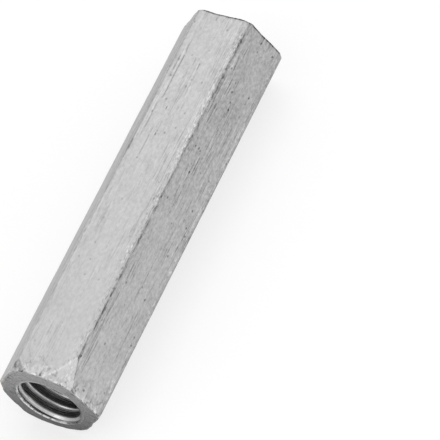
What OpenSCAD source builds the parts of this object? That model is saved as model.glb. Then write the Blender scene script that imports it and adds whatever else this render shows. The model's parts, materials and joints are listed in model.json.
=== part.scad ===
// Hexagon coupling nut: a long nut that joins two threaded rods end to end.
// It is cut from drawn hexagon bar, chamfered at both ends on a lathe, drilled through and tapped.
// The front end is also ground back on its upper side, which leaves two of its corners long and tapered,
// and ground round on its under side. Its chamfer and countersink were turned a little off centre.
// It lies on one flat with its axis along X, and its front end faces +X.

/* [Bar] */
// Width across the flats, the spanner size
across_flats = 11; // [10:0.5:16]
// Length of the nut
nut_length = 50; // [20:1:80]
// Radius of the bar's six drawn corners
corner_radius = 0.4; // [0.1:0.05:0.8]

/* [Thread] */
// Nominal diameter of the thread
thread_d = 8; // [5:0.5:8.5]
// Pitch of the thread
thread_pitch = 1.25; // [0.75:0.05:1.5]
// Share of the full thread depth that the drilled hole leaves
thread_share = 0.47; // [0.4:0.01:1]
// Full angle of the countersinks, in degrees
countersink_angle = 90; // [60:5:120]
// How far the back countersink stands outside the thread at the end face, all round
back_sink_margin = 0.05; // [-0.1:0.01:0.4]
// How far the front countersink stands outside the thread at the end face, before its offset
front_sink_margin = -0.03; // [-0.1:0.01:0.4]
// How far off the nut's axis the front countersink was turned
sink_runout = 0.32; // [0:0.02:0.4]
// Direction of that offset round the axis, in degrees up from the right-hand corner
sink_direction = 290; // [0:1:360]

/* [Ends] */
// How far the front chamfer runs back along the corners
front_chamfer = 0.35; // [0.1:0.05:0.7]
// How far the back chamfer runs back along the corners
back_chamfer = 0.25; // [0.1:0.05:0.7]
// Angle between the chamfers and the nut's axis, in degrees
chamfer_angle = 45; // [30:5:60]
// How far off the nut's axis the front chamfer was turned
chamfer_runout = 0.3; // [0:0.05:0.3]
// Direction of that offset round the axis, in degrees up from the right-hand corner
runout_direction = 351; // [0:1:360]

/* [Relief] */
// How deep the relief cuts into the upper flat at the end face
relief_depth = 0.05; // [0:0.05:0.4]
// Radius of the relief's cone at the end face
relief_radius = 9.5; // [8.5:0.5:14]
// Angle between the relief and the nut's axis, in degrees
relief_angle = 10.7; // [6:0.1:20]
// Direction that the relief faces round the axis, in degrees up from the right-hand corner
relief_direction = 81; // [60:1:120]

/* [Underside] */
// How deep the rounding under the front end cuts into the lower flat at the end face
under_depth = 0.25; // [0.05:0.05:0.5]
// Radius of that rounding's cone at the end face
under_radius = 7; // [6:0.5:12]
// Angle between the rounding and the nut's axis, in degrees
under_angle = 45; // [30:5:60]
// Direction that the rounding faces round the axis, in degrees up from the right-hand corner
under_direction = 273; // [250:1:290]

/* [Hidden] */
// Sides of the bar
sides = 6;
// Full depth of a 60 degree internal thread, as a share of its pitch: 5/8 of the sharp V's height
thread_depth_ratio = 0.625 * cos(30);
// Diameter of the drilled hole, which the crests of the thread stand on
minor_d = thread_d - 2 * thread_share * thread_depth_ratio * thread_pitch;
// Distance from the axis to the centre of each corner's arc
corner_centre = (across_flats / 2 - corner_radius) / cos(180 / sides);
// Distance from the axis to the outside of each corner
corner_reach = corner_centre + corner_radius;
// Distance from the nut's axis back to the axis of the relief's cone, and to that of the rounding's
relief_offset = relief_radius - (across_flats / 2 - relief_depth);
under_offset = under_radius - (across_flats / 2 - under_depth);
// How far the cutters pass the metal, so that no two faces coincide
overrun = 0.5;
// Segments in a full circle
$fn = 96;

// Cross-section of the drawn bar: six flats joined by tangent corner arcs
module bar_section() {
    corner_angles = [for (k = [0 : sides - 1]) 360 / sides * (k + 0.5)];
    half_turn = 180 / sides;
    polygon([
        for (a = corner_angles, side = [-half_turn, half_turn])
            corner_centre * [cos(a), sin(a)] + corner_radius * [cos(a + side), sin(a + side)]
    ]);
    for (a = corner_angles)
        translate(corner_centre * [cos(a), sin(a)])
            circle(r = corner_radius);
}

// Place for a turned or ground cone whose axis stands off the nut's, in a direction round it
module off_axis(offset, direction) {
    rotate([0, 0, direction + 90])
        translate([offset, 0, 0])
            children();
}

// Solid of revolution that one end's chamfer leaves: it meets the corners at the chamfer's length
module chamfered_end(chamfer) {
    slope = tan(chamfer_angle);
    end_r = corner_reach - chamfer * slope;
    rotate_extrude()
        polygon([
            [0, 0],
            [end_r, 0],
            [end_r + nut_length * slope, nut_length],
            [end_r + nut_length * slope, nut_length + overrun],
            [0, nut_length + overrun]
        ]);
}

// Cone that is left where one side of the front end is ground back
module ground_end(radius, angle) {
    cylinder(h = nut_length + overrun,
             r1 = radius,
             r2 = radius + (nut_length + overrun) * tan(angle));
}

// Turns an end's cutter round to face the front, with its small end on the front face
module at_front() {
    translate([0, 0, nut_length])
        mirror([0, 0, 1])
            children();
}

// Cutter for one countersink, with its wide end on the end face
module countersink(diameter) {
    slope = tan(countersink_angle / 2);
    rotate_extrude()
        polygon([
            [0, -overrun],
            [diameter / 2 + overrun * slope, -overrun],
            [0, diameter / 2 / slope]
        ]);
}

// Cutter for the drilled hole and the countersink at each mouth
module threaded_hole() {
    translate([0, 0, -overrun])
        cylinder(h = nut_length + 2 * overrun, d = minor_d);
    countersink(thread_d + 2 * back_sink_margin);
    at_front()
        off_axis(sink_runout, sink_direction)
            countersink(thread_d + 2 * front_sink_margin);
}

// The whole nut, resting on one flat and centred over the origin
module coupling_nut() {
    color([0.72, 0.72, 0.72])
        translate([-nut_length / 2, 0, across_flats / 2])
            rotate([0, 90, 0])
                difference() {
                    intersection() {
                        linear_extrude(nut_length)
                            bar_section();
                        chamfered_end(back_chamfer);
                        at_front()
                            off_axis(chamfer_runout, runout_direction)
                                chamfered_end(front_chamfer);
                        at_front()
                            off_axis(-relief_offset, relief_direction)
                                ground_end(relief_radius, relief_angle);
                        at_front()
                            off_axis(-under_offset, under_direction)
                                ground_end(under_radius, under_angle);
                    }
                    threaded_hole();
                }
}

coupling_nut();
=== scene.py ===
import itertools
import json
import math
import bmesh
import bpy
import numpy as np
from mathutils import Matrix, Vector


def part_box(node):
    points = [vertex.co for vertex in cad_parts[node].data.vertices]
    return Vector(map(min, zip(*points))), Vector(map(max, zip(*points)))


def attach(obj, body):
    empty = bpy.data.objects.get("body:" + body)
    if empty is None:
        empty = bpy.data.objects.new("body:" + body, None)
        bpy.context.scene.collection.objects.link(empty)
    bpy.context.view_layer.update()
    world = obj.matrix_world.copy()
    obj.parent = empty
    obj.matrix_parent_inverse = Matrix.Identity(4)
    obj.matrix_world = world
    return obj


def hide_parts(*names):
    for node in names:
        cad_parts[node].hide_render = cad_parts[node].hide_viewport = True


# A zinc-plated coupling nut lying on one flat: looks only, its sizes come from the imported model.
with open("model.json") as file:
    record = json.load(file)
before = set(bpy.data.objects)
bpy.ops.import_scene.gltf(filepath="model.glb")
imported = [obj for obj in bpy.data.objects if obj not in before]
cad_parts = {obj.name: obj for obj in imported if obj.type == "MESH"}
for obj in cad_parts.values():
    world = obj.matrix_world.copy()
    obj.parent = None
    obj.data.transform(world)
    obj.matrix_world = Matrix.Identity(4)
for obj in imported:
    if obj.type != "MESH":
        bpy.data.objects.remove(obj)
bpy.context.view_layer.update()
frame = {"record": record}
print("frame loaded")

boxLow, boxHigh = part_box("coupling_nut")
mounts = {m["name"]: m for m in frame["record"]["mounts"]}
halfLength = (boxHigh.x - boxLow.x) / 2
acrossFlats = boxHigh.z - boxLow.z
centreHeight = (boxHigh.z + boxLow.z) / 2
cornerReach = (boxHigh.y - boxLow.y) / 2
crestRadius = mounts["front_thread"]["dims"]["r_mm"] / 1000
cos30 = math.cos(math.radians(30))
sharpReach = acrossFlats / 2 / cos30  # where a corner would be with no rounding
cornerRadius = (sharpReach - cornerReach) / (1 / cos30 - 1)

nut = {  # lengths in metres; directions go round the axis from +Y towards +Z
    "frontChamfer": 0.00035,  # how far each end's chamfer runs back along the corners
    "backChamfer": 0.00025,
    "chamferAngle": math.radians(45),
    "chamferRunout": 0.0003,  # how far the front chamfer's axis stands off the nut's, and where
    "runoutDirection": math.radians(351),
    "reliefRadius": 0.0095,  # the relief on the upper side is a cone whose axis stands off the nut's
    "reliefDepth": 0.00005,
    "reliefAngle": math.radians(10.7),
    "reliefDirection": math.radians(81),
    "underRadius": 0.007,  # and so is the rounding on the under side
    "underDepth": 0.00025,
    "underAngle": math.radians(45),
    "underDirection": math.radians(273),
    "meetRound": 0.00006,  # width over which the cuts run into the flats and into each other
    "pitch": 0.00125,
    "phase": 0.434,  # share of a pitch by which the thread is moved along
    "rootRadius": 0.00404,
    "crestHalf": 0.000339,  # half the width of a crest
    "flankAngle": math.radians(30),
    "frontSink": 0.00397,  # radius of each countersink at the end face
    "backSink": 0.00405,
    "frontSinkAngle": math.radians(60),  # half of each countersink's full angle
    "backSinkAngle": math.radians(45),
    "sinkRunout": 0.00032,  # how far the front countersink's axis stands off the nut's, and where
    "sinkDirection": math.radians(290),
    "sinkReach": 0.003,  # no countersink reaches deeper than this
    "rimRound": 0.00005,  # how far the end faces' outer edges are rounded over
    "mouthRound": 0.00006,  # and the mouths' edges
    "threadStart": 0.0001,  # depth below the end face at which the thread's rows begin
    "cornerWear": 0.00006,  # deepest wear on the six long corners, and how far it reaches to their sides
    "cornerWearWidth": 0.0004,
    "waviness": 0.000015,  # deepest of the slow waves all over
    "rimWear": 0.00012,  # deepest chips along the end faces' outer edges
    "rimWearLength": 0.00035,  # how far they reach along the nut
    "chipShare": 0.4,  # the higher, the more of the edge is chipped
    "breakDepth": 0.00022,  # deepest of the chips beside the upper right corner of the front rim
    "breakDirection": math.radians(50),
    "breakSpread": math.radians(9),
    "cornerCells": (900, 2500, 2500),  # noise cells in a metre, along the nut and across it
    "slowCells": (260, 60, 60),
    "waveCells": (180, 400, 400),
    "chipCells": (700, 1500, 1500),
    "breakCells": (3500, 3500, 3500),
    "dents": [  # low places of the end faces: which end, direction and half width in degrees, depth
        (1, 90, 70, 0.00004),
        (-1, 100, 19, 0.00016),
        (-1, 42, 12, 0.00006),
    ],
    "dentLength": 0.003,  # length over which the nut takes up a dent
    "seed": 7,
    # How finely the nut is divided
    "halfColumns": 20,  # columns from a corner to the middle of a flat
    "cornerPacking": 2.2,  # how much closer the columns stand at the corners
    "bodyRows": 218,
    "rimRows": 10,  # extra rows near the rims, over this length
    "rimRowsLength": 0.0006,
    "rimTurns": (22.5, 45, 67.5, 90),  # degrees through which a rim's rows turn on to the end face
    "faceRows": 5,
    "mouthRows": 3,
    "boreColumns": 80,  # a third of the outer columns, so that the two sets of columns join
    # Rows in one pitch of the thread, as shares of it: a crest's middle, then both sides of each edge
    "threadRows": (0, 0.255, 0.285, 0.42, 0.455, 0.545, 0.58, 0.715, 0.745),
    "mergeDistance": 2e-7,  # points nearer than this are made one
    "sliverLength": 1e-8,  # edges shorter than this are taken out
}


def smoothNoise(points, seed):
    # Value noise from -1 to 1: random numbers on a lattice of whole coordinates,
    # blended across each cell by 3t^2 - 2t^3
    size = 64
    lattice = np.random.default_rng(seed).uniform(-1, 1, (size, size, size))
    cell = np.floor(points).astype(int)
    t = points - cell
    t = t * t * (3 - 2 * t)
    total = np.zeros(points.shape[:-1])
    for corner in itertools.product((0, 1), repeat=3):
        weight = np.prod(np.where(corner, t, 1 - t), axis=-1)
        i, j, k = np.moveaxis((cell + corner) % size, -1, 0)
        total += weight * lattice[i, j, k]
    return total


def cornerAngle(angle):
    # Angle from the nearest corner, -30 to 30 degrees; a corner stands at every 60 degrees from +Y
    return (angle + math.pi / 6) % (math.pi / 3) - math.pi / 6


def barRadius(angle):
    # Distance from the axis to the bar's outline: flats at half the width across flats, joined by corner arcs
    m = np.abs(cornerAngle(angle))
    centre = cornerReach - cornerRadius
    tangent = math.atan2(cornerRadius / 2, centre + cornerRadius * cos30)
    onArc = centre * np.cos(m) + np.sqrt(np.maximum(cornerRadius**2 - (centre * np.sin(m)) ** 2, 0))
    onFlat = acrossFlats / 2 / np.cos(math.pi / 6 - m)
    return np.where(m < tangent, onArc, onFlat)


def turnedRadius(x, angle):
    # Radius left by the chamfers: it grows from each end face at the tangent of the chamfer angle
    slope = math.tan(nut["chamferAngle"])
    front = cornerReach + (halfLength - x - nut["frontChamfer"]) * slope
    front = front + nut["chamferRunout"] * np.cos(angle - nut["runoutDirection"])
    back = cornerReach + (halfLength + x - nut["backChamfer"]) * slope
    return np.minimum(front, back)


def groundRadius(x, angle, cut):
    # Distance from the nut's axis to a ground cone: the far crossing of a circle centred off the axis
    offset = nut[cut + "Radius"] - (acrossFlats / 2 - nut[cut + "Depth"])
    around = nut[cut + "Radius"] + (halfLength - x) * math.tan(nut[cut + "Angle"])
    turn = angle - nut[cut + "Direction"]
    return np.sqrt(around**2 - (offset * np.sin(turn)) ** 2) - offset * np.cos(turn)


def softMin(a, b, width):
    # The smaller of a and b, rounded over where they are within width of each other
    h = np.clip(1 - np.abs(a - b) / width, 0, 1)
    return np.minimum(a, b) - h * h * width / 4


def wearDepth(x, angle, radius):
    # What is worn off: the long corners, slow waves all over, and chips near the end faces, by exp(-t^2)
    place = np.stack(np.broadcast_arrays(x, radius * np.cos(angle), radius * np.sin(angle)), -1)

    def rough(kind, step):
        return smoothNoise(place * nut[kind + "Cells"], nut["seed"] + step)

    nearCorner = np.exp(-((np.abs(cornerAngle(angle)) * cornerReach / nut["cornerWearWidth"]) ** 2))
    uneven = (0.5 + 0.5 * rough("corner", 0)) * (0.5 + 0.5 * rough("slow", 1))
    corners = nearCorner * nut["cornerWear"] * uneven
    waves = nut["waviness"] * (0.5 + 0.5 * rough("wave", 2))
    nearRim = np.exp(-(((halfLength - np.abs(x)) / nut["rimWearLength"]) ** 2))
    chips = np.clip(nut["chipShare"] + rough("chip", 3), 0, 1)
    turn = (angle - nut["breakDirection"] + math.pi) % (2 * math.pi) - math.pi
    broken = np.exp(-((turn / nut["breakSpread"]) ** 2)) * (x > 0) * (0.5 + 0.5 * rough("break", 4))
    return corners + waves + nearRim * (nut["rimWear"] * chips + nut["breakDepth"] * broken)


def outerRadius(x, angle):
    # Bar outline cut by the chamfers and the ground cones, less the wear, so it stays inside its solid
    radius = barRadius(angle)
    for cut in (turnedRadius(x, angle), groundRadius(x, angle, "relief"), groundRadius(x, angle, "under")):
        radius = softMin(radius, cut, nut["meetRound"])
    return radius - wearDepth(x, angle, radius)


def threadRadius(x, angle):
    # Right-hand 60 degree thread, from the distance to the nearest crest, which moves one pitch along in
    # each turn: flat crests as wide as the drilled hole, flanks that rise from them, and flat roots
    pitch = nut["pitch"]
    turns = x / pitch - angle / (2 * math.pi) + nut["phase"]
    fromCrest = np.abs(turns - np.round(turns)) * pitch
    rise = (fromCrest - nut["crestHalf"]) / math.tan(nut["flankAngle"])
    return crestRadius + np.clip(rise, 0, nut["rootRadius"] - crestRadius)


def endName(side):
    return "front" if side > 0 else "back"


def sinkRadius(depth, angle, side):
    # Countersink cone at a depth below the end face: it narrows at its angle, and the front one is off centre
    radius = nut[endName(side) + "Sink"] - depth * math.tan(nut[endName(side) + "SinkAngle"])
    offset = nut["sinkRunout"] if side > 0 else 0
    turn = angle - nut["sinkDirection"]
    return np.sqrt(np.maximum(radius**2 - (offset * np.sin(turn)) ** 2, 0)) + offset * np.cos(turn)


def nearerSink(x, angle):
    # Radius of the countersink at the nearer end, and how deep below that end's face
    depth = halfLength - np.abs(x)
    return np.where(x > 0, sinkRadius(depth, angle, 1), sinkRadius(depth, angle, -1)), depth


def wallRadius(x, angle):
    # The bore's wall: the thread, or the countersink of the nearer end where that is wider
    sink, depth = nearerSink(x, angle)
    return np.maximum(threadRadius(x, angle), np.where(depth < nut["sinkReach"], sink, 0))


def ring(x, radius, angle):
    # Points at a distance along the axis, a distance from it and a direction round it
    x, radius, angle = np.broadcast_arrays(x, radius, angle)
    return np.stack([x, radius * np.cos(angle), radius * np.sin(angle) + centreHeight], -1)


def gridFaces(rows, columns, first=0):
    # Quads of a grid that closes on itself from its last column to its first
    r, c = np.meshgrid(np.arange(rows - 1), np.arange(columns), indexing="ij")
    right = (c + 1) % columns
    this, following = r * columns, (r + 1) * columns
    quads = np.stack([this + c, this + right, following + right, following + c], -1)
    return quads.reshape(-1, 4) + first


def mouthOpening(side):
    # Angle that the rounding of a mouth turns through, and how far outside the countersink's edge it starts
    opening = math.pi / 2 - nut[endName(side) + "SinkAngle"]
    return opening, nut["mouthRound"] * math.tan(opening / 2)


def skinAngles():
    # Directions of the outer columns: packed towards the corners by sinh, with column 0 at angle 0
    half, packing = nut["halfColumns"], nut["cornerPacking"]
    s = np.arange(-half, half) / half
    sector = np.sign(s) * np.sinh(packing * np.abs(s)) / math.sinh(packing) * math.pi / 6
    angle = np.roll((np.arange(6)[:, None] * math.pi / 3 + sector[None, :]).ravel(), -half)
    return np.where(np.arange(len(angle)) >= len(angle) - half, angle + 2 * math.pi, angle)


def endRings(side, angle):
    # From a rim over its rounding and across the end face, where the columns slide to even spacing
    roundOver = nut["rimRound"]
    edge = side * (halfLength - roundOver)
    rim = outerRadius(np.full_like(angle, edge), angle)
    turn = np.radians(nut["rimTurns"])[:, None]
    rounded = ring(edge + side * roundOver * np.sin(turn), rim - roundOver * (1 - np.cos(turn)), angle)
    even = np.arange(len(angle)) * 2 * math.pi / len(angle)
    share = np.linspace(0, 1, nut["faceRows"] + 1)[1:, None]
    mouth = wallRadius(side * halfLength, even) + mouthOpening(side)[1]
    radius = (rim - roundOver) * (1 - share) + mouth * share
    face = ring(side * halfLength, radius, angle * (1 - share) + even * share)
    return np.concatenate([rounded, face])


def outerSkin():
    # From the back mouth over the back face, the six flats and the front face to the front mouth
    angle = skinAngles()
    edge = halfLength - nut["rimRound"]
    close = edge - np.linspace(0, nut["rimRowsLength"], nut["rimRows"])
    middle = np.linspace(-close[-1], close[-1], nut["bodyRows"])[1:-1]
    body = np.concatenate([-close, middle, close[::-1]])
    bodyRings = ring(body[:, None], outerRadius(body[:, None], angle[None, :]), angle[None, :])
    rows = np.concatenate([endRings(-1, angle)[::-1], bodyRings, endRings(1, angle)])
    return rows.reshape(-1, 3), [gridFaces(len(rows), len(angle))]


def mouthSkin(side):
    # Rounded edge between the end face and the bore: the outer ring has three columns to each one below it
    columns, rows = nut["boreColumns"], nut["mouthRows"]
    coarse = np.arange(columns) * 2 * math.pi / columns
    fine = np.arange(3 * columns) * 2 * math.pi / (3 * columns)
    opening, tangent = mouthOpening(side)
    outer = ring(side * halfLength, wallRadius(side * halfLength, fine) + tangent, fine)
    turn = opening * np.arange(1, rows + 1)[:, None] / rows
    inside = side * (halfLength - nut["mouthRound"] * (1 - np.cos(turn)))
    rounded = wallRadius(side * halfLength, coarse) + tangent - nut["mouthRound"] * np.sin(turn)
    inner = ring(inside, np.maximum(rounded, wallRadius(inside, coarse)), coarse)
    start = side * (halfLength - nut["threadStart"])
    last = ring(start, wallRadius(start, coarse), coarse)
    below = np.arange(columns)
    first = 3 * below  # the outer point above each inner one
    nextBelow = (below + 1) % columns + 3 * columns
    threes = [np.stack([first + k, first + k + 1, below + 3 * columns], -1) for k in (0, 1)]
    nextFirst = (first + 3) % (3 * columns)
    threes.append(np.stack([first + 2, nextFirst, below + 3 * columns], -1))
    threes.append(np.stack([nextFirst, nextBelow, below + 3 * columns], -1))
    points = np.concatenate([outer, inner.reshape(-1, 3), last])
    return points, [np.concatenate(threes), gridFaces(rows + 1, columns, 3 * columns)]


def boreSkin():
    # Rows follow the thread: each column starts a little further along,
    # so that one turn later a row has become the row one pitch further on
    columns, pitch = nut["boreColumns"], nut["pitch"]
    steps = np.array(nut["threadRows"])
    perTurn = len(steps)
    turns = math.ceil(2 * halfLength / pitch) + 4
    start = -(turns // 2 + 1)
    along = (start + np.arange(turns)[:, None] + steps[None, :]).ravel() * pitch
    angle = np.arange(columns) * 2 * math.pi / columns
    x = along[:, None] + pitch * (angle[None, :] / (2 * math.pi) - nut["phase"])
    limit = halfLength - nut["threadStart"]
    x = np.clip(x, -limit, limit)
    points = ring(x, wallRadius(x, angle[None, :]), angle[None, :])
    r, c = np.meshgrid(np.arange(len(along) - 1), np.arange(columns), indexing="ij")
    right = (c + 1) % columns
    rightRow = r + (c == columns - 1) * perTurn
    following = (rightRow + 1) * columns + right
    quads = np.stack([r * columns + c, rightRow * columns + right, following, (r + 1) * columns + c], -1)
    quads = quads[(rightRow + 1) < len(along)]
    return points.reshape(-1, 3), [quads.reshape(-1, 4)]


def makeNut():
    # The skins are worked out apart, and joined where their rings meet
    patches = [outerSkin(), boreSkin(), mouthSkin(-1), mouthSkin(1)]
    faces, first = [], 0
    for points, groups in patches:
        for group in groups:
            faces += (group + first).tolist()
        first += len(points)
    data = bpy.data.meshes.new("couplingNut")
    data.from_pydata(np.concatenate([points for points, groups in patches]), [], faces)
    work = bmesh.new()
    work.from_mesh(data)
    bmesh.ops.remove_doubles(work, verts=work.verts, dist=nut["mergeDistance"])
    bmesh.ops.dissolve_degenerate(work, edges=work.edges, dist=nut["sliverLength"])
    loose = [v for v in work.verts if not v.link_faces]
    bmesh.ops.delete(work, geom=loose, context="VERTS")
    bmesh.ops.recalc_face_normals(work, faces=work.faces)
    openEdges = sum(not e.is_manifold for e in work.edges)
    work.to_mesh(data)
    work.free()
    data.shade_smooth()
    data.calc_loop_triangles()
    triangles = len(data.loop_triangles)
    print("nut:", len(data.vertices), "vertices,", triangles, "triangles,", openEdges, "open edges")
    piece = bpy.data.objects.new("couplingNut", data)
    bpy.context.scene.collection.objects.link(piece)
    return piece


def readVectors(items, name):
    # One attribute of a mesh's vertices or faces, a row for each
    values = np.empty(len(items) * 3, dtype=np.float32)
    items.foreach_get(name, values)
    return values.reshape(-1, 3)


def dentEnds(piece):
    # Slides an end's low places along the axis: exp(-t^2) round the axis, and fading out over a short length
    points = readVectors(piece.data.vertices, "co")
    angle = np.degrees(np.arctan2(points[:, 2] - centreHeight, points[:, 1]))
    along = points[:, 0].copy()
    for side, direction, spread, depth in nut["dents"]:
        t = np.clip((side * along - halfLength) / nut["dentLength"] + 1, 0, 1)
        turn = (angle - direction + 180) % 360 - 180
        points[:, 0] -= side * depth * np.exp(-((turn / spread) ** 2)) * t * t * (3 - 2 * t)
    piece.data.vertices.foreach_set("co", points.ravel())
    piece.data.update()
    print("low places:", len(nut["dents"]))


zinc = {  # lengths in millimetres, in all the materials
    "tone": 0.42,  # reflectance of the clean plating
    "roughness": 0.5,
    "speckle": (0.14, 0.28),  # strength and size
    "mottle": (0.05, 2.0),
    "streaks": (4.0, 0.15),  # length and width of the drawing marks along the bar
    "darkStreaks": -0.26,  # how strongly they show
    "brightStreaks": 0.13,
    "pits": (-0.35, 0.7, 0.3),  # strength, size and share of the cells that have one
    "grain": (1.4, 0.75, 1.1, 0.9, 0.8, 0.9),  # how strong they are on each flat, the upper right one first
    "grainFade": (1.1, 0.2, 1.6),  # and along the nut: the first less the second times the third's sine
    "bump": (0.35, 0.00004),  # strength, and depth in metres
    # Bands of wear and of painted shade: strength, middle, half width, and the length, width and two levels
    # of their flecks
    "cornerWorn": (-0.12, 0.0, 0.5),
    "cornerLine": (-0.23, -0.12, 0.18, 1.4, 0.4, 0.36, 0.5),
    "cornerFlecks": (0.37, 0.28, 0.75, 0.5, 0.16, 0.55, 0.64),
    "cornerPatches": (3.5, 2.0, 0.36, 0.55),  # in which the bright flecks beside the corners come
    "cornerDirt": (-0.33, 0.0, 1.0, 0.6, 0.16, 0.48, 0.38),
    "reliefEdge": (-0.03, 0.01),  # where the relief gives way to the flats
    "ridge": (0.22, 0.0, 0.07, 0.6, 0.6, 0.3, 0.6),  # burnished line where it meets the top flat
    # painted shade in the crease along the relief's edge, below the corner
    "creaseShade": (-0.33, 0.03, 0.12, 0.8, 0.5, 0.36, 0.5),
    "reliefPaintedLight": 0.22,  # painted light and shade: the relief is lighter on its lit right side and darker on its shaded left
    "reliefPaintedShade": -0.22,
    "sunlit": (-1.5, 1.5),
    "shaded": (-3.0, 0.0),
    "wornRight": (-1.0, 1.0, 0.25, 1.0),  # from left to right across the nut, and the wear on each side
    "soiledUpper": (0.0, 2.0, 0.4, 1.0),
    "rimLine": (-0.55, 0.04, 0.12, 0.5, 0.5, 0.46, 0.54),
    "backRim": (-0.55, 0.15, 0.3),  # strength, and the distances from the rim between which it fades
    "frontRim": (0.32, 0.0, 0.7),
    "brightRimFlecks": (0.4, 0.7, 0.42, 0.55),
    "darkRimFlecks": (0.25, 0.3, 0.47, 0.38),
    "knocks": (0.24, 0.0, 4.0),  # bright knocks near the front end
    "knockFlecks": (1.1, 0.7, 0.45, 0.6),
    "knockLevel": 0.3,  # taken off, so that the places between them are a little darker
    "knockLines": (-0.5, 0.0, 4.0),  # dark lines round the knocks
    "knockLineFlecks": (1.2, 0.8, 0.45, 0.58),
    "knockCells": 0.8,  # cells in a millimetre, whose edges the dark lines follow
    "knockLineWidth": 0.09,
    "knockBend": (1.6, 1.2),  # scale and reach of the noise that bends them
    "soilHeld": 2.5,  # how far a mark of strength -1 is filled with soil
    "soilCover": 0.95,  # how far a dark mark hides the metal under it
    "marks": [  # flat's direction, place along and across it, length, width, strength
        (150, 12.5, -1.5, 24.0, 0.8, -0.34),
        (150, -13.0, -2.0, 26.0, 0.8, -0.34),
        (90, 12.0, 3.1, 28.0, 0.5, 0.16),
        (90, -17.0, -2.8, 7.0, 0.3, 0.14),
        (30, -17.5, 0.3, 15.0, 4.0, -0.05),
        (30, 12.0, 0.0, 26.0, 4.0, 0.03),
        (90, -16.5, 2.15, 9.5, 0.1, -0.45),
        (90, -16.8, 2.6, 3.5, 0.12, -0.35),
        (90, -16.0, 2.4, 9.0, 0.1, 0.2),
        (90, -11.5, 2.6, 8.0, 0.1, 0.25),
        (90, -9.5, 2.85, 7.0, 0.1, 0.2),
        (90, -9.5, 2.4, 6.0, 0.1, -0.25),
        (90, -6.5, 1.5, 4.5, 0.12, -0.25),
        (90, -5.8, 3.0, 2.0, 0.12, -0.45),
        (90, -11.3, 1.15, 0.5, 0.12, -0.5),
        (90, -7.7, 0.85, 0.4, 0.12, -0.45),
        (90, -24.3, 0.6, 1.0, 0.12, -0.4),
        (90, -18.0, 0.7, 1.2, 0.1, -0.35),
        (90, -17.5, 0.0, 1.1, 0.1, -0.3),
        (30, -15.7, 1.75, 13.5, 0.12, -0.35),
        (30, -19.5, 2.5, 9.0, 0.2, 0.25),
        (30, -11.5, -0.9, 4.5, 0.13, 0.22),
        (30, -11.0, -1.3, 5.0, 0.13, -0.35),
        (30, -11.5, -1.8, 6.0, 0.13, 0.25),
        (30, -11.5, -2.3, 6.5, 0.13, -0.35),
        (30, -11.5, -2.7, 6.0, 0.15, 0.25),
        (30, -5.5, -1.2, 4.0, 0.13, 0.25),
        (30, -5.5, -1.5, 5.0, 0.13, -0.25),
        (30, 17.0, 2.4, 9.5, 0.1, -0.45),
        (30, 15.0, -1.4, 10.0, 0.15, -0.3),
        (30, 23.9, 0.5, 0.35, 0.25, -0.7),
        (30, 23.9, -2.0, 0.5, 0.3, -0.6),
        (30, 22.4, -2.2, 0.3, 0.2, -0.5),
    ],
}


def addNode(tree, kind, values=(), **settings):
    # A node with its settings, and its inputs given by name or number
    node = tree.nodes.new("ShaderNode" + kind)
    for name, value in settings.items():
        setattr(node, name, value)
    for key, value in dict(values).items():
        if isinstance(value, bpy.types.NodeSocket):
            tree.links.new(value, node.inputs[key])
        else:
            node.inputs[key].default_value = value
    return node


def math2(tree, operation, a, b=0.0, clamp=False):
    # One sum: each of its two values is a number or another node's value
    return addNode(tree, "Math", {0: a, 1: b}, operation=operation, use_clamp=clamp).outputs[0]


def times(tree, *factors):
    total = factors[0]
    for factor in factors[1:]:
        total = math2(tree, "MULTIPLY", total, factor)
    return total


def addUp(tree, *parts):
    total = parts[0]
    for part in parts[1:]:
        total = math2(tree, "ADD", total, part)
    return total


def plus(tree, level, mask, amount):
    # The level, plus a mask times an amount
    return math2(tree, "ADD", level, math2(tree, "MULTIPLY", mask, amount))


def mix(tree, share, a, b):
    # From a to b as the share goes from 0 to 1
    return addNode(tree, "Mix", {0: share, 2: a, 3: b}).outputs[0]


def smoothStep(tree, value, low, high, start=0.0, end=1.0):
    # start below low, end above high, and 3t^2 - 2t^3 between them
    values = {"Value": value, "From Min": low, "From Max": high, "To Min": start, "To Max": end}
    return addNode(tree, "MapRange", values, interpolation_type="SMOOTHSTEP").outputs[0]


def band(tree, value, centre, halfWidth):
    # 1 where the value is at the centre, falling to 0 at the half width on both sides
    away = math2(tree, "ABSOLUTE", math2(tree, "SUBTRACT", value, centre))
    return smoothStep(tree, away, 0.0, halfWidth, 1.0, 0.0)


def noise(tree, place, detail=2.0, scale=1.0, roughness=0.5):
    # Noise from 0 to 1, about as often above 0.5 as below
    values = {"Vector": place, "Scale": scale, "Detail": detail, "Roughness": roughness}
    return addNode(tree, "TexNoise", values).outputs[0]


def lineNoise(tree, value, pitch, detail):
    # Noise along one value only, round 0, with about one line in each pitch
    lines = {"W": math2(tree, "DIVIDE", value, pitch), "Scale": 1.0, "Detail": detail}
    found = addNode(tree, "TexNoise", lines, noise_dimensions="1D").outputs[0]
    return math2(tree, "SUBTRACT", found, 0.5)


def stretched(tree, vector, length, width):
    # Place divided by the mark's length along the nut and by its width across it
    size = addNode(tree, "CombineXYZ", {0: length, 1: width, 2: width})
    return addNode(tree, "VectorMath", {0: vector, 1: size.outputs[0]}, operation="DIVIDE").outputs[0]


def newGroup(name, inputs, outputs):
    # Node group with named float sockets; Vector is the place on the nut in millimetres
    tree = bpy.data.node_groups.new(name, "ShaderNodeTree")
    tree.interface.new_socket("Vector", in_out="INPUT", socket_type="NodeSocketVector")
    for socket in inputs:
        tree.interface.new_socket(socket, in_out="INPUT", socket_type="NodeSocketFloat")
    for socket in outputs:
        tree.interface.new_socket(socket, in_out="OUTPUT", socket_type="NodeSocketFloat")
    return tree, tree.nodes.new("NodeGroupInput").outputs, tree.nodes.new("NodeGroupOutput").inputs


def useGroup(tree, name, place, **values):
    group = bpy.data.node_groups[name]
    return addNode(tree, "Group", {"Vector": place, **values}, node_tree=group).outputs


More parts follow.
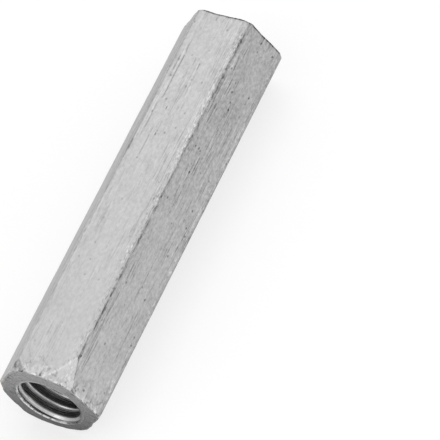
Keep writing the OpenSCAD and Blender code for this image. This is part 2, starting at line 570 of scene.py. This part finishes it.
effects = {  # the inner measures of the groups that the materials share
    "streakPatch": (9.0, 1.3),  # length and width of the patches in which the streaks come and go
    "streakPatchLevels": (0.42, 0.62),
    "streakRoughness": 0.6,
    "darkStreakLevels": (0.36, 0.46),
    "brightStreakLevels": (0.56, 0.66),
    "speckleStretch": 1.6,
    "speckleRoughness": 0.65,
    "speckleContrast": 4.0,
    "pitStretch": 1.5,
    "pitCore": (0.08, 0.22),  # a pit's floor and its edge, in shares of a cell
    "markWander": (3.0, 0.25),  # size of the bends in a mark, and how far they swing
    "markFade": (0.3, 0.55),  # shares of its length at which a mark starts to fade and is gone
    "markBreaks": (0.9, 0.25, 0.3, 0.52),
    "markHeight": (5.2, 5.35),  # distance from the axis past which a place is on the mark's own flat
}


def makeFlecks():
    # Ragged flecks: noise between two levels, or its low parts where the first level is the higher
    tree, given, result = newGroup("raggedFlecks", ["Length", "Width", "Low", "High"], ["Mask"])
    found = noise(tree, stretched(tree, given["Vector"], given["Length"], given["Width"]))
    tree.links.new(smoothStep(tree, found, given["Low"], given["High"]), result["Mask"])


def fleckMask(tree, place, length, width, low, high):
    return useGroup(tree, "raggedFlecks", place, Length=length, Width=width, Low=low, High=high)[0]


def makeStreaks():
    # Drawing marks: noise stretched along the bar, dark and bright, that comes and goes in patches
    tree, given, result = newGroup("drawnStreaks", ["Length", "Width"], ["Dark", "Bright"])
    place = stretched(tree, given["Vector"], given["Length"], given["Width"])
    fine = noise(tree, place, roughness=effects["streakRoughness"])
    patches = noise(tree, stretched(tree, given["Vector"], *effects["streakPatch"]), detail=1.0)
    where = smoothStep(tree, patches, *effects["streakPatchLevels"])
    dark = smoothStep(tree, fine, *effects["darkStreakLevels"], 1.0, 0.0)
    bright = smoothStep(tree, fine, *effects["brightStreakLevels"])
    tree.links.new(times(tree, dark, where), result["Dark"])
    tree.links.new(times(tree, bright, where), result["Bright"])


def makeSpeckle():
    # Fine uneven plating: noise as a value round 0
    tree, given, result = newGroup("platingSpeckle", ["Size"], ["Value"])
    length = times(tree, given["Size"], effects["speckleStretch"])
    place = stretched(tree, given["Vector"], length, given["Size"])
    fine = noise(tree, place, roughness=effects["speckleRoughness"])
    value = times(tree, math2(tree, "SUBTRACT", fine, 0.5), effects["speckleContrast"])
    tree.links.new(value, result["Value"])


def makePits():
    # Small dark pits: the cores of scattered cells, in only some of the cells
    tree, given, result = newGroup("darkPits", ["Size", "Share"], ["Mask"])
    length = times(tree, given["Size"], effects["pitStretch"])
    place = stretched(tree, given["Vector"], length, given["Size"])
    cells = addNode(tree, "TexVoronoi", {"Vector": place, "Scale": 1.0, "Randomness": 1.0}).outputs
    core = smoothStep(tree, cells["Distance"], *effects["pitCore"], 1.0, 0.0)
    chosen = addNode(tree, "SeparateColor", {0: cells["Color"]}).outputs[0]
    some = math2(tree, "LESS_THAN", chosen, given["Share"])
    tree.links.new(times(tree, core, some), result["Mask"])


def makeMark():
    # One scratch or streak: a band across a flat, faded at both ends, ragged, and only on that flat
    names = ["Flat", "Along", "Across", "Length", "Width"]
    tree, given, result = newGroup("scratchMark", names, ["Mask"])
    place = given["Vector"]
    x, y, z = addNode(tree, "SeparateXYZ", {0: place}).outputs
    cosine = math2(tree, "COSINE", given["Flat"])
    sine = math2(tree, "SINE", given["Flat"])
    outward = addUp(tree, times(tree, y, cosine), times(tree, z, sine))
    across = math2(tree, "SUBTRACT", times(tree, z, cosine), times(tree, y, sine))
    bendSize, swing = effects["markWander"]
    wander = noise(tree, stretched(tree, place, bendSize, bendSize), detail=1.0)
    across = plus(tree, across, math2(tree, "SUBTRACT", wander, 0.5), swing)
    side = band(tree, across, given["Across"], given["Width"])
    along = math2(tree, "ABSOLUTE", math2(tree, "SUBTRACT", x, given["Along"]))
    ends = smoothStep(tree, math2(tree, "DIVIDE", along, given["Length"]), *effects["markFade"], 1.0, 0.0)
    broken = fleckMask(tree, place, *effects["markBreaks"])
    onFlat = smoothStep(tree, outward, *effects["markHeight"])
    tree.links.new(times(tree, side, ends, broken, onFlat), result["Mask"])


def startMetal(name, roughness):
    # A metal, with the place on the nut in millimetres, measured from the nut's axis
    material = bpy.data.materials.new(name)
    material.use_nodes = True
    tree = material.node_tree
    shader = tree.nodes["Principled BSDF"]
    shader.inputs["Metallic"].default_value = 1
    shader.inputs["Roughness"].default_value = roughness
    place = addNode(tree, "TexCoord").outputs["Object"]
    moved = addNode(tree, "VectorMath", {0: place, 1: (0, 0, centreHeight)}, operation="SUBTRACT").outputs[0]
    place = addNode(tree, "VectorMath", {0: moved, "Scale": 1000.0}, operation="SCALE").outputs[0]
    return material, tree, shader, place


def setTone(tree, shader, tone):
    colour = addNode(tree, "CombineColor", {0: tone, 1: tone, 2: tone})
    tree.links.new(colour.outputs[0], shader.inputs["Base Color"])


def setBump(tree, shader, level, strength, distance):
    bump = addNode(tree, "Bump", {"Height": level, "Strength": strength, "Distance": distance})
    tree.links.new(bump.outputs[0], shader.inputs["Normal"])


def attribute(tree, name):
    return addNode(tree, "Attribute", attribute_name=name).outputs["Fac"]


def wearAndPaintedLightBand(tree, place, values, *where):
    # A band of wear, of painted light or of painted shade, broken up by flecks where it has them, times the
    # masks that say where it shows
    strength, middle, halfWidth, *flecks = values
    found, *others = where
    if flecks:
        others.append(fleckMask(tree, place, *flecks))
    return times(tree, band(tree, found, middle, halfWidth), *others, strength)


def edgeWearAndPaintedLight(tree, place):
    # What the corners, the relief and the rims add to the tone: bright flecks, less dark ones, and painted
    # light and shade on the relief and along its edge
    y, z = addNode(tree, "SeparateXYZ", {0: place}).outputs[1:]
    corner, relief, rim = [attribute(tree, name) for name in ("fromCorner", "relief", "fromRim")]
    onRelief = smoothStep(tree, relief, *zinc["reliefEdge"], 1.0, 0.0)
    offRelief = smoothStep(tree, relief, *zinc["reliefEdge"])
    rightHand = smoothStep(tree, y, *zinc["wornRight"])
    upper = smoothStep(tree, z, *zinc["soiledUpper"])
    patchy = fleckMask(tree, place, *zinc["cornerPatches"])
    belowCorner = times(tree, math2(tree, "LESS_THAN", corner, 0.0), math2(tree, "GREATER_THAN", y, 0.0))
    sunlit = smoothStep(tree, y, *zinc["sunlit"])
    shaded = smoothStep(tree, y, *zinc["shaded"], 1.0, 0.0)
    return addUp(
        tree,
        wearAndPaintedLightBand(tree, place, zinc["cornerWorn"], corner, offRelief, rightHand),
        wearAndPaintedLightBand(tree, place, zinc["cornerLine"], corner, offRelief, rightHand),
        wearAndPaintedLightBand(tree, place, zinc["cornerFlecks"], corner, patchy),
        wearAndPaintedLightBand(tree, place, zinc["cornerDirt"], corner, offRelief, rightHand, upper),
        wearAndPaintedLightBand(tree, place, zinc["ridge"], relief),
        # painted shade in the crease along the relief's edge
        wearAndPaintedLightBand(tree, place, zinc["creaseShade"], relief, belowCorner),
        wearAndPaintedLightBand(tree, place, zinc["rimLine"], rim),
        # painted light on the relief's lit right side and painted shade on its shaded left
        times(tree, onRelief, sunlit, zinc["reliefPaintedLight"]),
        times(tree, onRelief, shaded, zinc["reliefPaintedShade"]),
    )


def nearEnd(tree, values, *masks):
    # Masks that fade between two distances from the rim, times their strength
    strength, start, reach = values
    fade = smoothStep(tree, attribute(tree, "fromRim"), start, reach, 1.0, 0.0)
    return times(tree, fade, *masks, strength)


def endWear(tree, place):
    # Knocks and flecks of the front end's last few millimetres, and the dark rim at the back
    x = addNode(tree, "SeparateXYZ", {0: place}).outputs[0]
    isFront = math2(tree, "GREATER_THAN", x, 0.0)
    isBack = math2(tree, "LESS_THAN", x, 0.0)
    brightFlecks = fleckMask(tree, place, *zinc["brightRimFlecks"])
    darkFlecks = fleckMask(tree, place, *zinc["darkRimFlecks"])
    rimFlecks = math2(tree, "SUBTRACT", brightFlecks, darkFlecks)
    knocks = math2(tree, "SUBTRACT", fleckMask(tree, place, *zinc["knockFlecks"]), zinc["knockLevel"])
    scale, reach = zinc["knockBend"]
    bend = addNode(tree, "TexNoise", {"Vector": place, "Scale": scale, "Detail": 2.0}).outputs["Color"]
    bend = addNode(tree, "VectorMath", {0: bend, "Scale": reach}, operation="SCALE").outputs[0]
    bent = addNode(tree, "VectorMath", {0: place, 1: bend}, operation="ADD").outputs[0]
    cells = {"Vector": bent, "Scale": zinc["knockCells"]}
    toEdge = addNode(tree, "TexVoronoi", cells, feature="DISTANCE_TO_EDGE").outputs[0]
    lines = smoothStep(tree, toEdge, 0.0, zinc["knockLineWidth"], 1.0, 0.0)
    lineFlecks = fleckMask(tree, place, *zinc["knockLineFlecks"])
    return addUp(
        tree,
        nearEnd(tree, zinc["frontRim"], isFront, rimFlecks),
        nearEnd(tree, zinc["knocks"], isFront, knocks),
        nearEnd(tree, zinc["knockLines"], isFront, lines, lineFlecks),
        nearEnd(tree, zinc["backRim"], isBack),
    )


def finePlating(tree, place):
    # Speckle, mottle, streaks and pits, round 0 and by how strongly each flat shows them
    (speckle, speckleSize), (mottle, mottleSize) = zinc["speckle"], zinc["mottle"]
    pits, pitSize, share = zinc["pits"]
    length, width = zinc["streaks"]
    streaks = useGroup(tree, "drawnStreaks", place, Length=length, Width=width)
    fine = times(tree, useGroup(tree, "platingSpeckle", place, Size=speckleSize)[0], speckle)
    fine = plus(tree, fine, useGroup(tree, "platingSpeckle", place, Size=mottleSize)[0], mottle)
    fine = plus(tree, fine, streaks["Bright"], zinc["brightStreaks"])
    fine = plus(tree, fine, streaks["Dark"], zinc["darkStreaks"])
    fine = plus(tree, fine, useGroup(tree, "darkPits", place, Size=pitSize, Share=share)[0], pits)
    return times(tree, fine, attribute(tree, "grain"))


def makeZinc():
    # Worn zinc plating on the flats: base tone, less the dark marks and more the bright ones, with painted
    # light and shade on the relief
    material, tree, shader, place = startMetal("wornZinc", zinc["roughness"])
    level = math2(tree, "ADD", finePlating(tree, place), 1.0)
    soilAndShade = 0.0
    for flat, along, across, length, width, strength in zinc["marks"]:
        values = {"Along": along, "Across": across, "Length": length, "Width": width}
        mark = useGroup(tree, "scratchMark", place, Flat=math.radians(flat), **values)[0]
        level = plus(tree, level, mark, strength)
        if strength < 0:
            held = min(1.0, -strength * zinc["soilHeld"])
            soilAndShade = math2(tree, "MAXIMUM", soilAndShade, times(tree, mark, held))
    tree.links.new(plus(tree, 1.0, soilAndShade, -zinc["soilCover"]), shader.inputs["Metallic"])
    setBump(tree, shader, level, *zinc["bump"])
    wornAndPaintedLight = addUp(tree, level, edgeWearAndPaintedLight(tree, place), endWear(tree, place))
    setTone(tree, shader, math2(tree, "MULTIPLY", wornAndPaintedLight, zinc["tone"], clamp=True))
    return material


endFace = {
    "tone": 0.32,
    "roughness": 0.5,
    "soilAndShade": 0.62,  # painted shade: how much darker the face is at its lowest point
    "shadeHeights": (-5.5, 5.5),
    "rings": (0.6, 0.25),  # strength and pitch of the facing marks about the axis
    "speckle": (0.32, 0.22),  # strength and size
    "mottle": (0.1, 2.0),
    # Bands of wear, a painted highlight and painted shade, as on the flats
    "burr": (0.45, -0.1, 0.12, 0.5, 0.5, 0.42, 0.55),  # bright edge, and the painted shade of the crease inside it
    "creaseShade": (-0.25, -0.28, 0.14, 0.5, 0.7, 0.42, 0.55),
    "lipHighlight": (0.5, 0.05, 0.14, 0.5, 0.9, 0.36, 0.5),  # painted highlight on the edge round the mouth
    "scratches": -0.55,
    "scratchTurn": 0.5,  # turn of the scratches about the nut's axis
    "scratchSize": (1.0, 2.2, 0.16),
    "scratchLevels": (0.34, 0.44),
    "bump": (0.3, 0.00003),  # strength, and depth in metres
}


def fromAxis(tree, y, z):
    # Distance from the nut's axis
    flat = addNode(tree, "CombineXYZ", {1: y, 2: z}).outputs[0]
    return addNode(tree, "VectorMath", {0: flat}, operation="LENGTH").outputs["Value"]


def makeTurnedFace():
    # Faced ends: darker bare steel with faint rings about the axis
    material, tree, shader, place = startMetal("turnedFace", endFace["roughness"])
    y, z = addNode(tree, "SeparateXYZ", {0: place}).outputs[1:]
    rings, pitch = endFace["rings"]
    level = plus(tree, 1.0, lineNoise(tree, fromAxis(tree, y, z), pitch, 3.0), rings)
    for strength, size in (endFace["speckle"], endFace["mottle"]):
        level = plus(tree, level, useGroup(tree, "platingSpeckle", place, Size=size)[0], strength)
    # the lip's band is a painted highlight and the crease's band painted shade
    for edge, where in (("lipHighlight", "fromMouth"), ("burr", "fromRim"), ("creaseShade", "fromRim")):
        level = addUp(tree, level, wearAndPaintedLightBand(tree, place, endFace[edge], attribute(tree, where)))
    turn = {"Vector": place, "Angle": endFace["scratchTurn"]}
    turned = addNode(tree, "VectorRotate", turn, rotation_type="X_AXIS").outputs[0]
    size = endFace["scratchSize"]
    scratches = addNode(tree, "VectorMath", {0: turned, 1: size}, operation="DIVIDE").outputs[0]
    scratches = smoothStep(tree, noise(tree, scratches), *endFace["scratchLevels"], 1.0, 0.0)
    level = plus(tree, level, scratches, endFace["scratches"])
    # painted shade: the face darker towards its bottom
    level = times(tree, level, smoothStep(tree, z, *endFace["shadeHeights"], 1 - endFace["soilAndShade"], 1.0))
    setTone(tree, shader, math2(tree, "MULTIPLY", level, endFace["tone"], clamp=True))
    setBump(tree, shader, level, *endFace["bump"])
    return material


threadSteel = {
    # painted light and shade: one steel made darker on the crests, roots and countersinks and lighter on the
    # flanks, with a painted highlight on the lips
    "shadedCrestTone": 0.34,
    "litFlankTone": 0.5,
    "shadowedRootTone": 0.22,
    "lipHighlightTone": 0.7,
    "shadedSinkTone": 0.22,
    "aboveCrest": (0.01, 0.05),  # where the crests give way to the flanks, outwards from their radius
    "belowRoot": (-0.06, -0.02),  # and the flanks to the roots
    "sinkEdge": (-0.02, 0.02),
    "lipEdge": (-0.06, 0.06),
    "lipWander": (1.2, 0.3),  # scale and reach of the bends in the lip's edge
    "sinkRight": (1.5, 2.5, 1.0, 0.35),  # painted shade: the countersink's tone falls between two places, from 1 to a share
    "right": (0.0, 3.5, 1.0, 0.6),  # and so does the whole bore's, to the right and upwards, as painted shade
    "upper": (-1.0, 4.0, 1.0, 0.8),
    "roughness": 0.3,
    "speckle": (0.12, 0.3),
    "lines": (3.0, 0.07),  # strength and pitch of the cutting marks round the bore
    "nicks": -0.5,  # dark nicks in the countersinks
    "nickFlecks": (0.5, 0.45, 0.45, 0.36),
}


def boreTone(tree, place, y, radius):
    # Painted shade on the crests and roots, painted light on the flanks and a painted highlight on the lips,
    # told apart by distance from the axis and the mouth
    steel = threadSteel
    crest, root = crestRadius * 1000, nut["rootRadius"] * 1000
    above = smoothStep(tree, radius, *[crest + step for step in steel["aboveCrest"]])
    below = smoothStep(tree, radius, *[root + step for step in steel["belowRoot"]])
    tone = mix(tree, above, steel["shadedCrestTone"], steel["litFlankTone"])
    tone = mix(tree, below, tone, steel["shadowedRootTone"])
    scale, reach = steel["lipWander"]
    edge = plus(tree, attribute(tree, "fromMouth"), noise(tree, place, scale=scale), reach)
    sink = mix(tree, smoothStep(tree, edge, *steel["lipEdge"]), steel["shadedSinkTone"], steel["lipHighlightTone"])
    # painted shade: the countersink darker to its right
    sink = times(tree, sink, smoothStep(tree, y, *steel["sinkRight"]))
    sunk = smoothStep(tree, attribute(tree, "sunk"), *steel["sinkEdge"])
    return mix(tree, sunk, tone, sink), sunk


def makeThreadSteel():
    # Tapped steel: the painted light and shade of the bore with fine cutting marks, and painted shade on its
    # right and upper sides
    material, tree, shader, place = startMetal("tappedSteel", threadSteel["roughness"])
    x, y, z = addNode(tree, "SeparateXYZ", {0: place}).outputs
    radius = fromAxis(tree, y, z)
    tone, sunk = boreTone(tree, place, y, radius)
    speckle, size = threadSteel["speckle"]
    level = plus(tree, 1.0, useGroup(tree, "platingSpeckle", place, Size=size)[0], speckle)
    lines, pitch = threadSteel["lines"]
    level = plus(tree, level, lineNoise(tree, addUp(tree, radius, x), pitch, 1.0), lines)
    # painted shade: the bore darker upwards and to the right
    level = times(tree, level, smoothStep(tree, z, *threadSteel["upper"]))
    level = times(tree, level, smoothStep(tree, y, *threadSteel["right"]))
    nicks = times(tree, sunk, fleckMask(tree, place, *threadSteel["nickFlecks"]))
    level = plus(tree, level, nicks, threadSteel["nicks"])
    setTone(tree, shader, math2(tree, "MULTIPLY", level, tone, clamp=True))
    return material


def storeDistances(piece):
    # What the materials read at each point: how far it is in millimetres from the nearest corner, the rim,
    # the mouth, the relief and the countersink, and how strong the grain is there
    points = readVectors(piece.data.vertices, "co")
    angle = np.arctan2(points[:, 2] - centreHeight, points[:, 1])
    radius = np.hypot(points[:, 1], points[:, 2] - centreHeight)
    x = np.clip(points[:, 0], -halfLength, halfLength)
    end = np.where(x > 0, halfLength, -halfLength)
    sink, depth = nearerSink(x, angle)
    values = {
        "fromCorner": cornerAngle(angle) * cornerReach * 1000,
        "fromRim": (halfLength - np.abs(x) + radius - outerRadius(end, angle)) * 1000,
        "relief": (groundRadius(x, angle, "relief") - barRadius(angle)) * 1000,
        "fromMouth": (radius - wallRadius(end, angle)) * 1000,
        "sunk": np.where(depth < nut["sinkReach"], (sink - threadRadius(x, angle)) * 1000, -1),
    }
    flat = np.floor(angle / (math.pi / 3)) % 6  # 0 is the upper right flat, 1 the top and 2 the upper left
    most, fade, reach = zinc["grainFade"]
    grain = np.choose(flat.astype(int), zinc["grain"])
    values["grain"] = grain * (most - fade * np.sin(x / halfLength * reach))
    for name, value in values.items():
        stored = piece.data.attributes.new(name, "FLOAT", "POINT")
        stored.data.foreach_set("value", value.astype(np.float32))


def chooseMaterials(piece):
    # Zinc on the flats, turned face where a face looks along the nut, tapped steel where it looks inwards
    centre = readVectors(piece.data.polygons, "center")
    normal = readVectors(piece.data.polygons, "normal")
    radius = np.hypot(centre[:, 1], centre[:, 2] - centreHeight)
    outward = centre[:, 1] * normal[:, 1] + (centre[:, 2] - centreHeight) * normal[:, 2]
    turned, inward = 0.97, -0.2  # how much of a face's direction is along the nut, or away from its axis
    slot = np.where(np.abs(normal[:, 0]) > turned, 1, 0)
    slot = np.where((outward < inward * radius) | (radius < crestRadius), 2, slot)
    piece.data.polygons.foreach_set("material_index", slot.astype(np.int32))


view = {
    "tilt": math.radians(26.15),  # how far the nut's near end leans towards the camera
    "spin": math.radians(22.61),  # turn about the nut's axis that brings the right-hand flat into view
    "roll": math.radians(116.69),  # direction of the nut's axis in the picture, clockwise from the right
    "distance": 0.4767,
    "lens": 350.0,
    "sensor": 36.0,
    "clip": (0.01, 20.0),
    "across": -0.1762,  # where the nut's centre lands, in shares of the picture's width from its middle
    "down": -0.0049,
}


def makeCamera():
    # Camera axes are right, down and forward; the nut's own axes are first written in them
    tilt, spin, roll = view["tilt"], view["spin"], view["roll"]
    along = Vector((math.cos(tilt) * math.cos(roll), math.cos(tilt) * math.sin(roll), -math.sin(tilt)))
    towards = Vector((0, 0, -1)) + along * along.z
    towards.normalize()
    up = math.cos(spin) * towards + math.sin(spin) * along.cross(towards)
    turn = Matrix((along, up.cross(along), up)).transposed()
    data = bpy.data.cameras.new("camera")
    data.sensor_width = view["sensor"]
    data.lens = view["lens"]
    data.clip_start, data.clip_end = view["clip"]
    span = view["distance"] * data.sensor_width / data.lens  # what the picture's width covers at the nut
    offset = Vector((view["across"] * span, view["down"] * span, view["distance"]))
    place = Vector((0, 0, centreHeight)) - turn.transposed() @ offset
    axes = turn.transposed() @ Matrix.Diagonal((1, -1, -1))
    camera = bpy.data.objects.new("camera", data)
    camera.matrix_world = Matrix.Translation(place) @ axes.to_4x4()
    bpy.context.scene.collection.objects.link(camera)
    bpy.context.scene.camera = camera
    print("camera set")


studio = {
    "surround": 0.8,  # light that the white surroundings shed
    "floorHalf": 3.0,
    "floorTone": 0.8,
    "floorGlow": 0.65,  # how much of the floor's white, as it is seen, is free of shadow
    "floorRoughness": 0.9,
    "floorShine": 0.1,
    "softboxes": {  # place, width, height and brightness
        "overhead": ((-0.3, -0.05, 0.5), 0.7, 0.7, 0.75),
        "close": ((0.035, 0.15, 0.03), 0.07, 0.07, 2.3),
        "front": ((0.4, -0.28, 0.16), 0.3, 0.2, 1.3),
    },
}


def seenDirectly(tree):
    # 1 for the camera and for mirror-like and clear surfaces, so that metal shows the background too
    rays = addNode(tree, "LightPath").outputs
    seen = math2(tree, "MAXIMUM", rays["Is Camera Ray"], rays["Is Glossy Ray"])
    return math2(tree, "MAXIMUM", seen, rays["Is Transmission Ray"])


def makeFloor():
    # Plain white floor: seen directly it is nearly white, with a faint shadow of the nut on it
    half = studio["floorHalf"]
    data = bpy.data.meshes.new("floor")
    corners = [(-half, -half, 0), (half, -half, 0), (half, half, 0), (-half, half, 0)]
    data.from_pydata(corners, [], [(0, 1, 2, 3)])
    floor = bpy.data.objects.new("floor", data)
    bpy.context.scene.collection.objects.link(floor)
    material = bpy.data.materials.new("floorWhite")
    material.use_nodes = True
    tree = material.node_tree
    shader = tree.nodes["Principled BSDF"]
    shader.inputs["Roughness"].default_value = studio["floorRoughness"]
    shader.inputs["Specular IOR Level"].default_value = studio["floorShine"]
    shader.inputs["Emission Color"].default_value = (1, 1, 1, 1)
    seen = seenDirectly(tree)
    setTone(tree, shader, mix(tree, seen, studio["floorTone"], 1 - studio["floorGlow"]))
    tree.links.new(mix(tree, seen, 0.0, studio["floorGlow"]), shader.inputs["Emission Strength"])
    data.materials.append(material)
    print("floor laid")


def makeSoftbox(name, place, width, height, radiance):
    # A square lamp's power for a wanted brightness: brightness times its area times pi
    lamp = bpy.data.lights.new(name, "AREA")
    lamp.shape = "RECTANGLE"
    lamp.size = width
    lamp.size_y = height
    lamp.energy = radiance * width * height * math.pi
    box = bpy.data.objects.new(name, lamp)
    box.location = place
    box.rotation_mode = "QUATERNION"
    box.rotation_quaternion = (-box.location).to_track_quat("-Z", "Y")
    bpy.context.scene.collection.objects.link(box)


def makeLights():
    # White surroundings that shed less light than they show, and the softboxes
    world = bpy.data.worlds.new("studio")
    bpy.context.scene.world = world
    world.use_nodes = True
    tree = world.node_tree
    back = tree.nodes["Background"]
    back.inputs["Color"].default_value = (1, 1, 1, 1)
    strength = mix(tree, seenDirectly(tree), studio["surround"], 1.0)
    tree.links.new(strength, back.inputs["Strength"])
    for name, (place, width, height, radiance) in studio["softboxes"].items():
        makeSoftbox(name, place, width, height, radiance)
    print("softboxes:", len(studio["softboxes"]))


piece = makeNut()
makeFlecks()
makeStreaks()
makeSpeckle()
makePits()
makeMark()
print("node groups:", len(bpy.data.node_groups))
for material in (makeZinc(), makeTurnedFace(), makeThreadSteel()):
    piece.data.materials.append(material)
print("materials:", len(piece.data.materials))
storeDistances(piece)
chooseMaterials(piece)
dentEnds(piece)
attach(piece, "root")
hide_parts("coupling_nut")
makeCamera()
makeFloor()
makeLights()
bpy.context.scene.view_settings.view_transform = "Standard"
